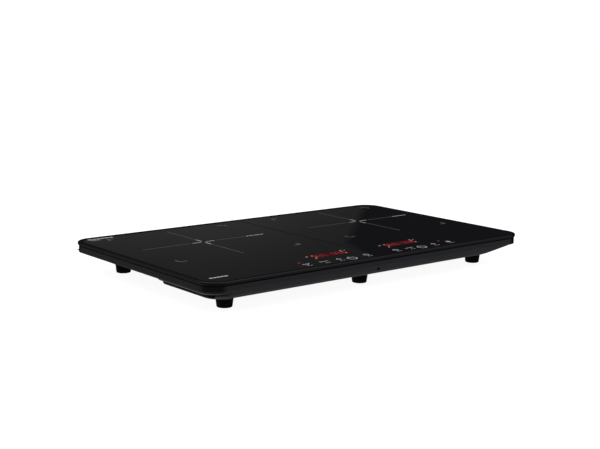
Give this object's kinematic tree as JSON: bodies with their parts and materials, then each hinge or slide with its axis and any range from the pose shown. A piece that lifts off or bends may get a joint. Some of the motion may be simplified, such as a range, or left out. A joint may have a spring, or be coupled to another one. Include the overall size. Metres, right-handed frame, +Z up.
{
  "type": "induction cooktop",
  "caption": "Slim free-standing induction cooktop with two zones side by side under one black glass plate, touch controls in front and cooling fans below.",
  "frame": {"origin": "on the table surface, under the middle of the glass plate", "axes": "+X to the user's right, +Y to the back, +Z up; the controls are at the front, -Y"},
  "size_m": [0.6, 0.355, 0.047],
  "materials": {
    "glass_ceramic": "polished black glass-ceramic",
    "silicone_seal": "matte silicone",
    "frame_plastic": "satin moulded black",
    "housing_plastic": "fine moulded texture, black",
    "screw_steel": "zinc-plated",
    "foot_rubber": "matte black rubber",
    "terminal_plastic": "off-white moulded",
    "gland_plastic": "matte black",
    "circuit_board": "green solder mask",
    "choke_copper": "enamelled copper wire",
    "bracket_plastic": "light grey moulded",
    "touch_spring_brass": "plated spring wire",
    "indicator_lens": "red lamp lens",
    "winding_copper": "enamelled stranded copper wire",
    "carrier_plastic": "glass-filled moulding",
    "ferrite": "sintered ferrite",
    "insulation_fibre": "pressed ceramic-fibre mat",
    "sensor_silicone": "white silicone",
    "heatsink_aluminium": "extruded",
    "semiconductor_case": "moulded epoxy",
    "capacitor_case": "moulded yellow box",
    "fan_plastic": "moulded black",
    "motor_steel": "steel laminations",
    "shaft_steel": "ground steel",
    "display_red": "red display window",
    "ribbon_insulation": "grey ribbon cable"
  },
  "bodies": {
    "base": {"glass_plate": "glass_ceramic", "glass_seal": "silicone_seal", "upper_frame": "frame_plastic", "lower_housing": "housing_plastic", "housing_screws": "screw_steel", "foot_screws": "screw_steel", "coil_screws": "screw_steel", "board_screws": "screw_steel", "fan_screws": "screw_steel", "terminal_block": "terminal_plastic", "cord_gland": "gland_plastic", "mains_filter_board": "circuit_board", "filter_choke": "choke_copper", "control_bracket": "bracket_plastic", "control_board": "circuit_board", "touch_springs": "touch_spring_brass", "indicator_lamps": "indicator_lens", "foot_front_left": "foot_rubber", "foot_front_middle": "foot_rubber", "foot_front_right": "foot_rubber", "foot_rear_left": "foot_rubber", "foot_rear_middle": "foot_rubber", "foot_rear_right": "foot_rubber", "coil_winding_left": "winding_copper", "coil_carrier_left": "carrier_plastic", "ferrite_bars_left": "ferrite", "insulation_mat_left": "insulation_fibre", "temperature_sensor_left": "sensor_silicone", "power_board_left": "circuit_board", "heatsink_left": "heatsink_aluminium", "power_transistor_left": "semiconductor_case", "bridge_rectifier_left": "semiconductor_case", "filter_capacitor_left": "capacitor_case", "resonance_capacitor_left": "capacitor_case", "choke_left": "choke_copper", "fan_frame_left": "fan_plastic", "fan_motor_left": "motor_steel", "zone_display_left": "display_red", "ribbon_cable_left": "ribbon_insulation", "coil_winding_right": "winding_copper", "coil_carrier_right": "carrier_plastic", "ferrite_bars_right": "ferrite", "insulation_mat_right": "insulation_fibre", "temperature_sensor_right": "sensor_silicone", "power_board_right": "circuit_board", "heatsink_right": "heatsink_aluminium", "power_transistor_right": "semiconductor_case", "bridge_rectifier_right": "semiconductor_case", "filter_capacitor_right": "capacitor_case", "resonance_capacitor_right": "capacitor_case", "choke_right": "choke_copper", "fan_frame_right": "fan_plastic", "fan_motor_right": "motor_steel", "zone_display_right": "display_red", "ribbon_cable_right": "ribbon_insulation"},
    "fan_left": {"fan_rotor_left": "fan_plastic", "fan_shaft_left": "shaft_steel"},
    "fan_right": {"fan_rotor_right": "fan_plastic", "fan_shaft_right": "shaft_steel"}
  },
  "joints": [
    {"name": "fan_spin_left", "type": "hinge", "parent": "base", "child": "fan_left", "pos_m": [-0.181, -0.081, 0.02], "axis": [0, 0, 1], "continuous": true},
    {"name": "fan_spin_right", "type": "hinge", "parent": "base", "child": "fan_right", "pos_m": [0.181, -0.081, 0.02], "axis": [0, 0, 1], "continuous": true}
  ]
}
